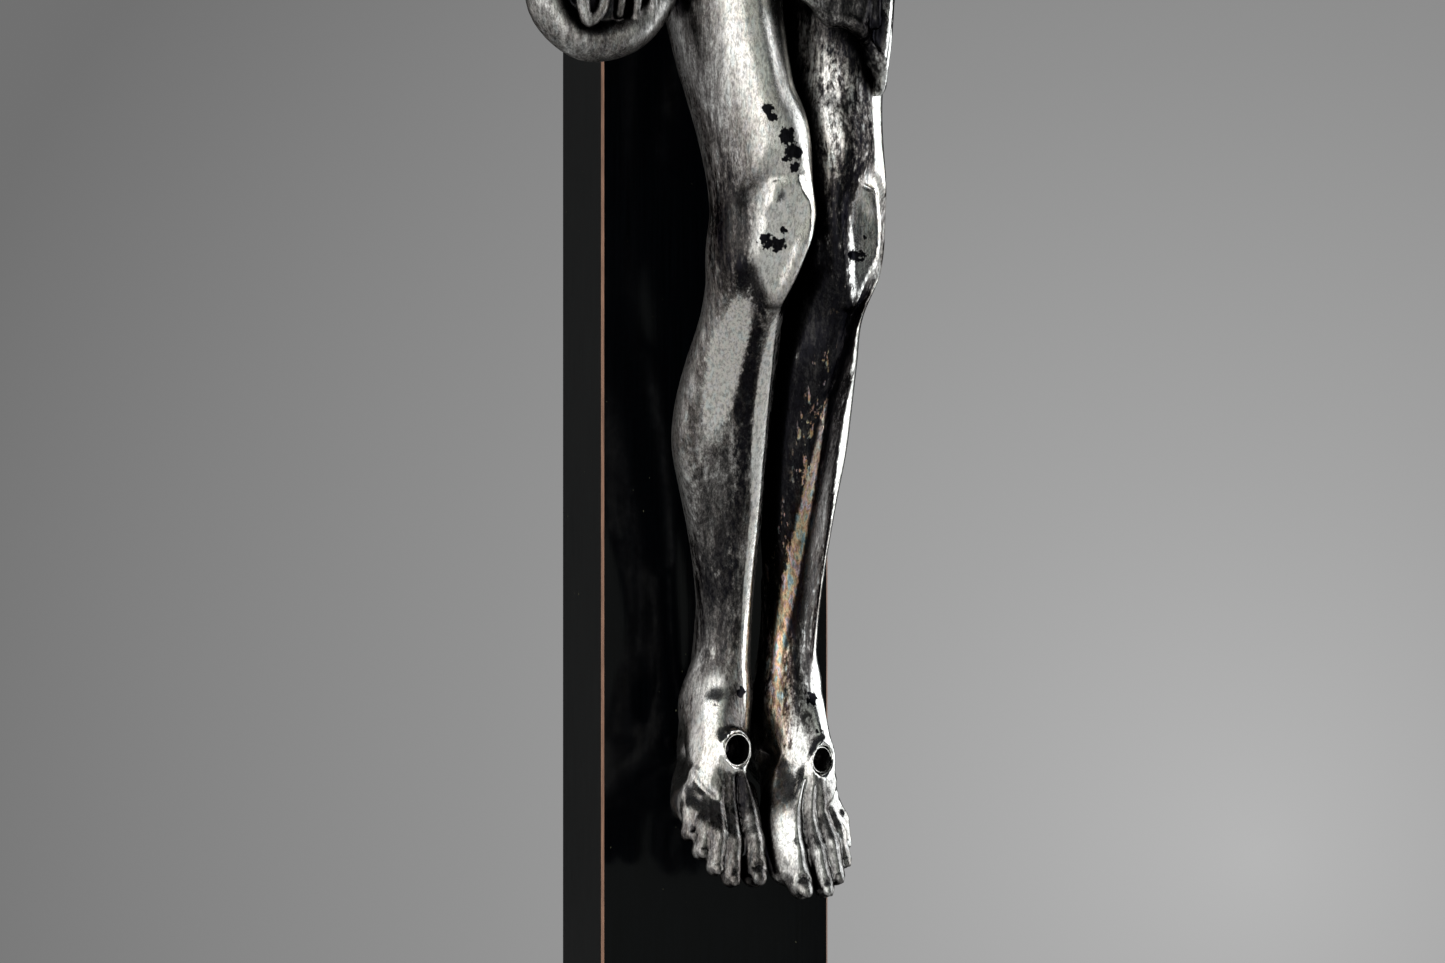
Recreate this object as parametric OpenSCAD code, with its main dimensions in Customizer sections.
// Altar cross: a silver corpus on an ebonised cross that lifts out of a stepped base.
// Millimetres. +Z is up, the corpus faces -Y, and the origin is the centre of the base's underside.

/* [Cross] */
// Width of the upright and height of the crossbar
beam_w = 42; // [36:1:50]
// Thickness of both beams, front to back
beam_d = 17; // [15:0.5:20]
// Length of the crossbar
crossbar_span = 350; // [320:5:400]
// Height of the upright's top above the table
cross_top = 670; // [640:5:720]
// Height of the crossbar's centre line above the table
crossbar_z = 558; // [555:1:561]
// Width of the bare wood strip along each front edge
strip = 0.4; // [0.3:0.1:1]
// Thickness of the ebony veneer on the end grain
end_cap = 1.2; // [0.8:0.1:2]

/* [Base] */
// Width of the lowest step
base_w = 200; // [190:5:240]
// Depth of the lowest step
base_d = 130; // [124:2:150]
// Height of the face that the upright stands on
base_h = 95; // [94:1:100]
// Depth of the socket that takes the tenon
socket_depth = 64; // [60:0.5:64]
// Gap round the tenon
tenon_gap = 0.3; // [0.2:0.05:0.5]

/* [Corpus] */
// Height of the lowest toe above the table
toe_z = 240; // [238:1:242]
// Outer radius of the nail cup in the right foot
cup_right_r = 2.9; // [2.7:0.05:3]
// Outer radius of the nail cup in the left foot
cup_left_r = 2.4; // [2.2:0.05:2.6]
// Radius of the shank of each hand nail
nail_r = 1.4; // [1.2:0.1:1.5]

/* [Hidden] */

eps = 0.01;
fit = 0.05;                       // radial clearance of a screw or nail in its hole
skin_gap = 0.15;                  // gap between two castings that are soldered together
front_y = -beam_d / 2;            // front face of the cross
ebony = "#101213";
bare_wood = "#9a6040";
silver = "#b9b8b0";
brass = "#b08d4a";
felt = "#1f4a35";

// Base heights, from the table up
baize_t = 1.2;
plinth_top = 17;
middle_top = 31;
die_top = 69;
cornice_top = 83;
collar_h = 8;
collar_wall = 6;
die_w = 120;
die_d = 64;
tenon_w = 30;
tenon_d = 11;
board_t = 10;                     // thickness of the pedestal's four boards
block_w = 16;
block_d = 12;
socket_wall = 8;
screw_r = 2;

// Height of the screw that holds the corpus, and of the foot nails
back_screw_z = toe_z + 185;
foot_nail_right = [-6.5, toe_z + 25];    // x and z of each nail's axis
foot_nail_left = [8.8, toe_z + 23];
cup_front = 23;                   // the cups' front edge, in front of the cross
cup_depth = 9;
cup_floor = 1;
cup_wall = 0.4;
shank_hole_r = 1.1;
post_r = 1.7;
nail_bite = 12;                   // how far a foot nail would reach into the wood
hand_x = 128;
palm_z = 317;                     // height of the palm's centre above the lowest toe

// A body landmark is [x, distance in front of the cross, height above the lowest toe, radius].
function place(p) = [p[0], front_y - p[1], toe_z + p[2]];

leg_right_line = [
    [-13, 22, 186, 13], [-11, 25.5, 152, 10.6], [-8.8, 29, 131, 9.2], [-7.2, 31, 109, 8.6],
    [-7, 29, 100, 7.6], [-7.9, 24, 90, 7.4], [-8.1, 20, 78, 8], [-6.5, 17, 63, 6],
    [-5.4, 14.5, 45, 4.7], [-6.3, 13.5, 34, 5.6]];
leg_left_line = [
    [14, 22, 186, 13], [10.5, 26, 152, 10.2], [9.5, 30, 131, 9.2], [9.5, 32, 109, 8.6],
    [8.8, 30, 100, 7.6], [8.7, 26, 90, 7.2], [8.5, 22, 78, 7.6], [8.1, 18, 63, 6],
    [7, 15.5, 45, 4.7], [7.7, 14, 33, 5.4]];
foot_right_line = [
    [[-6.6, 6, 31, 4.6], [-6.8, 15.5, 30, 5.6]],
    [[-7, 17, 24, 5.6], [-7.4, 10, 22, 4]],
    [[-11, 23, 14, 2.8], [-4.8, 25, 13, 3]],
    [[-11.4, 26, 9.6, 2], [-5.2, 29, 4.6, 1.8]]];
foot_left_line = [
    [[7.2, 6, 30, 4.6], [7.8, 15.5, 29, 5.6]],
    [[8.2, 17, 22.5, 5.6], [8, 10, 21, 4]],
    [[5.4, 24, 12, 3.2], [13, 22, 13, 2.8]],
    [[5, 28.5, 3.4, 2], [14, 26.5, 8, 1.9]]];
torso_line = [   // [x, forward, height, half width, half depth, half height]
    [1, 22, 187, 16, 11.5, 12], [0.5, 20, 209, 13, 8.6, 10], [0, 19, 232, 17, 11, 12],
    [-0.5, 19, 252, 19, 12, 12], [-0.5, 18.5, 268, 21, 9, 7]];
arm_right_line = [
    [-22, 18, 269, 8], [-31, 17.5, 274, 6.6], [-52, 16, 283, 5.8], [-75, 14, 294, 4.4],
    [-86, 12, 299, 4.9], [-103, 8.5, 307, 3.6], [-114, 7, 312, 3]];
palm_line = [[-116, 6.5, 313, 3], [-134, 5.5, 320, 3.2], [-132, 5.5, 313.5, 3.2]];
finger_line = [[-136, 5.6, 318, 3], [-146, 9.5, 321, 2.2], [-143, 9, 315, 2.2]];
thumb_line = [[-122, 8, 318, 2.2], [-130, 12, 325, 1.8]];

// ---------------------------------------------------------------- shared shapes

module ball(p, detail = 16) {
    translate(place(p)) sphere(r = p[3], $fn = detail);
}

module blob(p, grow = 0, detail = 20) {
    translate(place(p)) scale([p[3] + grow, p[4] + grow, p[5] + grow]) sphere(r = 1, $fn = detail);
}

// A tapered limb: each landmark's ball joined to the next one
module limb(line, grow = 0) {
    for (i = [0 : len(line) - 2]) hull() {
        ball(line[i] + [0, 0, 0, grow]);
        ball(line[i + 1] + [0, 0, 0, grow]);
    }
}

module mass(points, grow = 0) {
    hull() for (p = points) ball(p + [0, 0, 0, grow], 14);
}

// Everything above, or below, a height over the lowest toe
module above(h) {
    translate([-250, -250, toe_z + h]) cube([500, 500, 300]);
}

module below(h) {
    translate([-250, -250, toe_z + h - 300]) cube([500, 500, 300]);
}

// A cylinder from distance a to distance b in front of the cross, along its depth
module forward_rod(x, z, r, a, b) {
    translate([x, front_y - a, z]) rotate([90, 0, 0]) cylinder(r = r, h = b - a, $fn = 32);
}

// ---------------------------------------------------------------- cross

module upright_section(h) {
    translate([-beam_w / 2, front_y + strip, 0]) cube([beam_w, beam_d - strip, h]);
}

module upright() {
    color(ebony) difference() {
        union() {
            translate([0, 0, base_h]) upright_section(cross_top - end_cap - base_h);
            translate([-tenon_w / 2, -tenon_d / 2, base_h - socket_depth + 1])
                cube([tenon_w, tenon_d, socket_depth - 1 + eps]);
        }
        // halving for the crossbar, cut from the back
        translate([-beam_w, 0, crossbar_z - beam_w / 2]) cube([2 * beam_w, beam_d, beam_w]);
        foot_nail_hole(foot_nail_right);
        foot_nail_hole(foot_nail_left);
        forward_rod(0, back_screw_z, screw_r + fit, -beam_d - 1, 1);
        forward_rod(0, back_screw_z, 5.2, -beam_d - 1, -beam_d + 3);
        lap_holes();
        title_pin_holes(-6);
    }
}

module foot_nail_hole(at) {
    forward_rod(at[0], at[1], shank_hole_r, -nail_bite, 1);
}

lap_screw_z = 12;

module lap_holes() {
    for (side = [-1, 1]) forward_rod(0, crossbar_z + side * lap_screw_z, 1.5 + fit, -beam_d - 1, -5);
}

module crossbar() {
    color(ebony) difference() {
        translate([-crossbar_span / 2 + end_cap, front_y + strip, crossbar_z - beam_w / 2])
            cube([crossbar_span - 2 * end_cap, beam_d - strip, beam_w]);
        // halving for the upright, cut from the front
        translate([-beam_w / 2, -beam_d, crossbar_z - beam_w]) cube([beam_w, beam_d, 2 * beam_w]);
        lap_holes();
        for (side = [-1, 1]) {
            forward_rod(side * hand_x, toe_z + palm_z, nail_r + fit, -beam_d - 1, 1);
            forward_rod(side * hand_x, toe_z + palm_z, 4.2, -beam_d - 1, -beam_d + 3.4);
            forward_rod(0, crossbar_z + side * lap_screw_z, 3.2, -beam_d - 1, -beam_d + 1.8);
        }
    }
}

module upright_face_veneer() {
    color(ebony) difference() {
        translate([-beam_w / 2 + strip, front_y, base_h]) cube([beam_w - 2 * strip, strip, cross_top - base_h]);
        for (at = [foot_nail_right, foot_nail_left]) forward_rod(at[0], at[1], shank_hole_r, -2, 1);
        forward_rod(0, back_screw_z, screw_r + fit, -2, 1);
        title_pin_holes(-2);
    }
}

module crossbar_face_veneers() {
    color(ebony) for (side = [0, 1]) mirror([side, 0, 0]) difference() {
        translate([beam_w / 2, front_y, crossbar_z - beam_w / 2 + strip])
            cube([crossbar_span / 2 - beam_w / 2, strip, beam_w - 2 * strip]);
        forward_rod(hand_x, toe_z + palm_z, nail_r + fit, -2, 1);
    }
}

// One strip of bare wood, three sided, along +Z with its square corner at the origin
module strip_bar(length) {
    linear_extrude(length) polygon([[0, 0], [strip, 0], [0, strip]]);
}

module edge_strips() {
    bar_low = crossbar_z - beam_w / 2;
    bar_high = crossbar_z + beam_w / 2;
    arm = (crossbar_span - beam_w) / 2;
    color(bare_wood) for (side = [0, 1]) mirror([side, 0, 0]) {
        translate([beam_w / 2 - strip, front_y + strip, 0]) {
            translate([0, 0, base_h]) mirror([0, 1, 0]) strip_bar(bar_low - base_h);
            translate([0, 0, bar_high]) mirror([0, 1, 0]) strip_bar(cross_top - bar_high);
        }
        translate([beam_w / 2, front_y + strip, bar_high - strip]) rotate([90, 0, 90])
            mirror([1, 0, 0]) strip_bar(arm);
        translate([beam_w / 2, front_y + strip, bar_low + strip]) rotate([90, 0, 90])
            rotate([0, 0, 180]) strip_bar(arm);
    }
}

module end_veneers() {
    color(ebony) {
        translate([-beam_w / 2, front_y + strip, cross_top - end_cap]) cube([beam_w, beam_d - strip, end_cap]);
        for (side = [0, 1]) mirror([side, 0, 0])
            translate([crossbar_span / 2 - end_cap, front_y + strip, crossbar_z - beam_w / 2])
                cube([end_cap, beam_d - strip, beam_w]);
    }
}

module lap_screws() {
    color(brass) for (side = [-1, 1]) {
        forward_rod(0, crossbar_z + side * lap_screw_z, 1.5, -beam_d + 1.6, -5.5);
        forward_rod(0, crossbar_z + side * lap_screw_z, 3, -beam_d + 0.2, -beam_d + 1.7);
    }
}

title_z = 612;
title_w = 34;
title_pin_x = 13;

module title_pin_holes(back) {
    for (side = [-1, 1]) forward_rod(side * title_pin_x, title_z, 0.7 + fit, back, 1);
}

// A blank scroll: a plate with a curl at each end
module title_scroll() {
    color(silver) translate([0, front_y, title_z]) rotate([90, 0, 0]) difference() {
        union() {
            linear_extrude(1.2) square([title_w, 17], center = true);
            for (side = [-1, 1]) translate([side * title_w / 2, 0, 1.9]) rotate([90, 0, 0])
                cylinder(r = 1.9, h = 20, center = true, $fn = 32);
        }
        for (side = [-1, 1]) translate([side * title_pin_x, 0, -1]) cylinder(r = 0.7 + fit, h = 4, $fn = 24);
    }
}

module title_pins() {
    color(silver) for (side = [-1, 1]) {
        forward_rod(side * title_pin_x, title_z, 0.7, -5.5, 1.3);
        forward_rod(side * title_pin_x, title_z, 1.4, 1.2, 2);
    }
}

// ---------------------------------------------------------------- corpus

spigot_x = 26;        // plane of each shoulder joint
neck_h = 281;         // plane of the neck joint

module torso_mass(grow = 0) {
    for (i = [0 : len(torso_line) - 2]) hull() {
        blob(torso_line[i], grow);
        blob(torso_line[i + 1], grow);
    }
    limb([[-3, 19, 268, 8], [-4.5, 22, 286, 6]], grow);
}

module torso() {
    color(silver) difference() {
        intersection() {
            union() {
                torso_mass();
                shoulder_ends();
            }
            above(184);
            below(neck_h);
            translate([-spigot_x, -200, 0]) cube([2 * spigot_x, 400, 900]);
        }
        for (side = [0, 1]) mirror([side, 0, 0]) shoulder_spigot(skin_gap);
        neck_spigot(skin_gap);
        head_mass(skin_gap);
        crown_ring(skin_gap);
        screw_tip_hole();
    }
}

module shoulder_ends() {
    for (side = [0, 1]) mirror([side, 0, 0]) limb([arm_right_line[0], arm_right_line[1]]);
}

module shoulder_spigot(grow = 0) {
    translate(place([-spigot_x - 1, 17.8, 271.5])) rotate([0, 65, 0])
        cylinder(r = 3 + grow, h = 8 + grow, $fn = 24);
}

module neck_spigot(grow = 0) {
    translate(place([-4.1, 21.1, neck_h - 5 - grow])) cylinder(r = 3.2 + grow, h = 5.5 + grow, $fn = 24);
}

// The arm on the -X side. The other one is its mirror image.
module arm() {
    color(silver) difference() {
        union() {
            intersection() {
                union() {
                    limb(arm_right_line);
                    mass(palm_line);
                    mass(finger_line);
                    mass(thumb_line);
                }
                translate([-spigot_x - skin_gap - 300, -200, 0]) cube([300, 400, 900]);
                translate([-300, front_y - 200, 0]) cube([300, 200 - 0.2, 900]);
            }
            shoulder_spigot();
        }
        forward_rod(-hand_x, toe_z + palm_z, nail_r + fit * 2, -1, 30);
        forward_rod(-hand_x, toe_z + palm_z, 3.8, nail_head_at - fit, 30);
    }
}

module arm_right() {
    arm();
}

module arm_left() {
    mirror([1, 0, 0]) arm();
}

module head_mass(grow = 0) {
    hull() {
        blob([-8.5, 29, 300, 12.5, 14.5, 13], grow, 22);
        blob([-9.5, 37, 287, 6.5, 6, 8], grow, 16);
    }
    hull() {
        blob([-8.5, 24, 297, 13.5, 9, 12], grow, 18);
        blob([-7, 20, 284, 12, 5, 9], grow, 16);
    }
    mass([[-10, 40, 282, 4.5], [-9.5, 37, 276, 3.5], [-9, 34, 285, 6]], grow);
}

module head() {
    color(silver) difference() {
        union() {
            head_mass();
            neck_spigot();
        }
        crown_ring(skin_gap);
    }
}

module crown_ring(grow = 0) {
    translate(place([-8.3, 28.5, 303])) rotate([14, -10, 0]) rotate_extrude($fn = 48)
        translate([14.2, 0]) circle(r = 2 + grow, $fn = 16);
}

module crown_of_thorns() {
    color(silver) crown_ring();
}

ankle_h = 36;         // plane where each foot is soldered to its leg

// The side of the corpus that a leg with this nail hole is on
module own_side(nail) {
    translate([nail[0] > 0 ? 0.1 : -200.1, -200, 0]) cube([200, 400, 900]);
}

module leg(line, nail) {
    color(silver) difference() {
        intersection() {
            limb(line);
            below(184 - skin_gap);
            above(ankle_h);
            own_side(nail);
        }
        screw_tip_hole();
    }
}

module foot(line, shape, nail, cup_r) {
    color(silver) difference() {
        intersection() {
            union() {
                ankle = len(line) - 1;
                limb([line[ankle - 1], line[ankle]]);
                for (i = [0 : len(shape) - 2])
                    mass([shape[i][0], shape[i][1], shape[i + 1][0], shape[i + 1][1]]);
            }
            below(ankle_h - skin_gap);
            own_side(nail);
        }
        forward_rod(nail[0], nail[1], post_r + fit * 2, -1, 40);
        forward_rod(nail[0], nail[1], cup_r + fit * 2, cup_front - cup_depth - fit, 45);
    }
}

module leg_right() {
    leg(leg_right_line, foot_nail_right);
}

module leg_left() {
    leg(leg_left_line, foot_nail_left);
}

module foot_right() {
    foot(leg_right_line, foot_right_line, foot_nail_right, cup_right_r);
}

module foot_left() {
    foot(leg_left_line, foot_left_line, foot_nail_left, cup_left_r);
}

// The cloth round the hips, and the hem that hangs lower over the left thigh
module loincloth_mass() {
    hull() {
        blob([1, 22.5, 192, 20.5, 15.5, 7]);
        blob([1, 23, 176, 24.5, 18.5, 9]);
        blob([1, 24.5, 160, 23, 17, 8]);
    }
    hull() {
        blob([3, 24, 164, 21, 17, 8]);
        blob([12.5, 27.5, 146, 11.5, 14.5, 6]);
        ball([19.5, 30, 134, 2.4]);
    }
}

screw_tip = 15;       // the back screw's end, in front of the cross

module screw_tip_hole() {
    forward_rod(0, back_screw_z, screw_r + fit * 2, -1, screw_tip + 0.4);
}

module loincloth() {
    color(silver) difference() {
        union() {
            loincloth_mass();
            forward_rod(0, back_screw_z, 5, 0.1, 10);
        }
        torso_mass(skin_gap);
        limb(leg_right_line, skin_gap);
        limb(leg_left_line, skin_gap);
        knot_mass(skin_gap);
        screw_tip_hole();
    }
}

module knot_mass(grow = 0) {
    hull() {
        ball([-22, 26, 190, 5 + grow]);
        ball([-30, 27, 176, 9 + grow]);
        ball([-37, 28, 158, 10.5 + grow]);
        ball([-32, 29, 148, 9.5 + grow]);
    }
}

module loincloth_knot() {
    color(silver) difference() {
        knot_mass();
        limb(leg_right_line, skin_gap);
        torso_mass(skin_gap);
    }
}

// A nail cup: the post stands on the wood and the cup opens at the front of the foot.
module nail_cup(at, r) {
    bore_r = r - cup_wall;
    color(silver) difference() {
        union() {
            forward_rod(at[0], at[1], post_r, 0, cup_front - cup_depth + eps);
            forward_rod(at[0], at[1], r, cup_front - cup_depth, cup_front);
        }
        forward_rod(at[0], at[1], shank_hole_r, -1, cup_front);
        forward_rod(at[0], at[1], bore_r, cup_front - cup_depth + cup_floor, cup_front + 1);
    }
}

module foot_nail_cup_right() {
    nail_cup(foot_nail_right, cup_right_r);
}

module foot_nail_cup_left() {
    nail_cup(foot_nail_left, cup_left_r);
}

nail_head_at = 8.9;   // underside of each hand nail's head, in front of the cross

module hand_nails() {
    color(silver) for (side = [-1, 1]) {
        forward_rod(side * hand_x, toe_z + palm_z, nail_r, -beam_d + 0.4, nail_head_at + eps);
        translate([side * hand_x, front_y - nail_head_at, toe_z + palm_z]) rotate([90, 0, 0])
            rotate_extrude($fn = 48) nail_head_2d();
    }
}

// Half section of a domed nail head
module nail_head_2d() {
    intersection() {
        translate([0, -3.6]) circle(r = 5, $fn = 64);
        square([3.6, 3]);
    }
}

module hand_nail_washers() {
    color(brass) for (side = [-1, 1]) difference() {
        forward_rod(side * hand_x, toe_z + palm_z, 4, -beam_d + 2.8, -beam_d + 3.4);
        forward_rod(side * hand_x, toe_z + palm_z, nail_r + fit, -beam_d, -beam_d + 5);
    }
}

module hand_nail_nuts() {
    color(brass) for (side = [-1, 1]) difference() {
        translate([side * hand_x, front_y + beam_d - 0.6, toe_z + palm_z]) rotate([90, 0, 0])
            cylinder(r = 3.2, h = 2.2, $fn = 6);
        forward_rod(side * hand_x, toe_z + palm_z, nail_r + fit, -beam_d - 1, -beam_d + 5);
    }
}

module back_screw() {
    color(brass) {
        forward_rod(0, back_screw_z, screw_r, -beam_d + 1.9, screw_tip);
        forward_rod(0, back_screw_z, 4, -beam_d + 0.2, -beam_d + 2);
    }
}

module back_screw_washer() {
    color(brass) difference() {
        forward_rod(0, back_screw_z, 5, -beam_d + 2, -beam_d + 3);
        forward_rod(0, back_screw_z, screw_r + fit, -beam_d, -beam_d + 5);
    }
}

// ---------------------------------------------------------------- base

// A block with one profile along all four sides. The children are what is cut from the right-hand
// edge of its front view, drawn with the block's edge at x = 0.
module moulded_block(w, d, low, high) {
    translate([0, 0, low]) intersection() {
        rotate([90, 0, 0]) linear_extrude(d, center = true) cut_sides(w, high - low) children([0 : $children - 1]);
        rotate([90, 0, 90]) linear_extrude(w, center = true) cut_sides(d, high - low) children([0 : $children - 1]);
    }
}

module cut_sides(w, h) {
    difference() {
        translate([-w / 2, 0]) square([w, h]);
        for (side = [0, 1]) mirror([side, 0]) translate([w / 2, 0]) children([0 : $children - 1]);
    }
}

// What is cut away to leave a quarter round of radius r under a top edge at height h
module round_over(r, h) {
    translate([-r, h - r]) difference() {
        square(r + 1);
        circle(r = r, $fn = 64);
    }
}

// What is cut away to leave a hollow of radius r under a top edge at height h
module hollow_at(r, h) {
    translate([0, h]) circle(r = r, $fn = 64);
}

module mortise() {
    translate([-tenon_w / 2 - tenon_gap, -tenon_d / 2 - tenon_gap, base_h - socket_depth])
        cube([tenon_w + 2 * tenon_gap, tenon_d + 2 * tenon_gap, socket_depth + 20]);
}

module socket_collar() {
    inside = [beam_w + 2 * tenon_gap, beam_d + 2 * tenon_gap];
    color(ebony) difference() {
        moulded_block(beam_w + 2 * collar_wall, beam_d + 2 * collar_wall, base_h, base_h + collar_h) {
            round_over(4, collar_h);
        }
        translate([-inside[0] / 2, -inside[1] / 2, base_h - 1]) cube([inside[0], inside[1], 2 * collar_h]);
    }
}

module top_step() {
    color(ebony) difference() {
        moulded_block(98, 48, cornice_top, base_h) round_over(5, base_h - cornice_top);
        mortise();
        dowel_holes();
    }
}

module cornice() {
    color(ebony) difference() {
        moulded_block(die_w + 20, die_d + 20, die_top, cornice_top) {
            circle(r = 8, $fn = 64);
            round_over(2.5, cornice_top - die_top);
        }
        mortise();
        dowel_holes();
    }
}

// The front and back boards, which run the full width
module pedestal_boards() {
    color(ebony) translate([0, 0, middle_top]) for (side = [-1, 1])
        translate([-die_w / 2, side > 0 ? die_d / 2 - board_t : -die_d / 2, 0])
            cube([die_w, board_t, die_top - middle_top]);
}

// The side boards, which fit between the other two
module pedestal_side_boards() {
    color(ebony) translate([0, 0, middle_top]) for (side = [-1, 1])
        translate([side > 0 ? die_w / 2 - board_t : -die_w / 2, -die_d / 2 + board_t, 0])
            cube([board_t, die_d - 2 * board_t, die_top - middle_top]);
}

// Four strips that line the mortise inside the pedestal
module socket_strips() {
    in_w = tenon_w + 2 * tenon_gap;
    in_d = tenon_d + 2 * tenon_gap;
    color(bare_wood) translate([0, 0, middle_top]) for (side = [0, 1]) {
        mirror([0, side, 0]) translate([-in_w / 2 - socket_wall, in_d / 2, 0])
            cube([in_w + 2 * socket_wall, socket_wall, die_top - middle_top]);
        mirror([side, 0, 0]) translate([in_w / 2, -in_d / 2, 0])
            cube([socket_wall, in_d, die_top - middle_top]);
    }
}

// A place in each corner of the pedestal, on one axis for its screw and its dowel
module at_corners() {
    for (x = [-1, 1], y = [-1, 1])
        translate([x * (die_w / 2 - board_t - block_w / 2), y * (die_d / 2 - board_t - block_d / 2), 0]) children();
}

module corner_blocks() {
    color(bare_wood) difference() {
        at_corners() translate([-block_w / 2, -block_d / 2, middle_top])
            cube([block_w, block_d, die_top - middle_top]);
        base_screw_holes();
        dowel_holes();
    }
}

module middle_step() {
    color(ebony) difference() {
        moulded_block(base_w - 36, base_d - 30, plinth_top, middle_top) {
            hollow_at(9, middle_top - plinth_top);
        }
        base_screw_holes();
    }
}

module plinth_board() {
    color(ebony) difference() {
        moulded_block(base_w, base_d, baize_t, plinth_top) round_over(7, plinth_top - baize_t);
        base_screw_holes();
        at_corners() cylinder(r = 4.3, h = baize_t + 3.2, $fn = 48);
    }
}

module base_screw_holes() {
    at_corners() cylinder(r = screw_r + fit, h = middle_top + 15.5, $fn = 32);
}

module base_screws() {
    color(brass) at_corners() translate([0, 0, baize_t + 0.4]) {
        cylinder(r = 4, h = 2.7, $fn = 48);
        cylinder(r = screw_r, h = middle_top + 13, $fn = 32);
    }
}

dowel_low = die_top - 10;
dowel_high = cornice_top + 6;
dowel_r = 3;

module dowel_holes() {
    at_corners() translate([0, 0, dowel_low - 0.5])
        cylinder(r = dowel_r + fit, h = dowel_high - dowel_low + 1, $fn = 32);
}

module base_dowels() {
    color(bare_wood) at_corners() translate([0, 0, dowel_low])
        cylinder(r = dowel_r, h = dowel_high - dowel_low, $fn = 32);
}

module baize_pad() {
    color(felt) linear_extrude(baize_t) offset(r = 3) square([base_w - 12, base_d - 12], center = true);
}

upright();
crossbar();
upright_face_veneer();
crossbar_face_veneers();
edge_strips();
end_veneers();
lap_screws();
title_scroll();
title_pins();
torso();
head();
crown_of_thorns();
arm_right();
arm_left();
leg_right();
leg_left();
foot_right();
foot_left();
loincloth();
loincloth_knot();
foot_nail_cup_right();
foot_nail_cup_left();
hand_nails();
hand_nail_washers();
hand_nail_nuts();
back_screw();
back_screw_washer();
socket_collar();
top_step();
cornice();
pedestal_boards();
pedestal_side_boards();
socket_strips();
corner_blocks();
middle_step();
plinth_board();
base_screws();
base_dowels();
baize_pad();
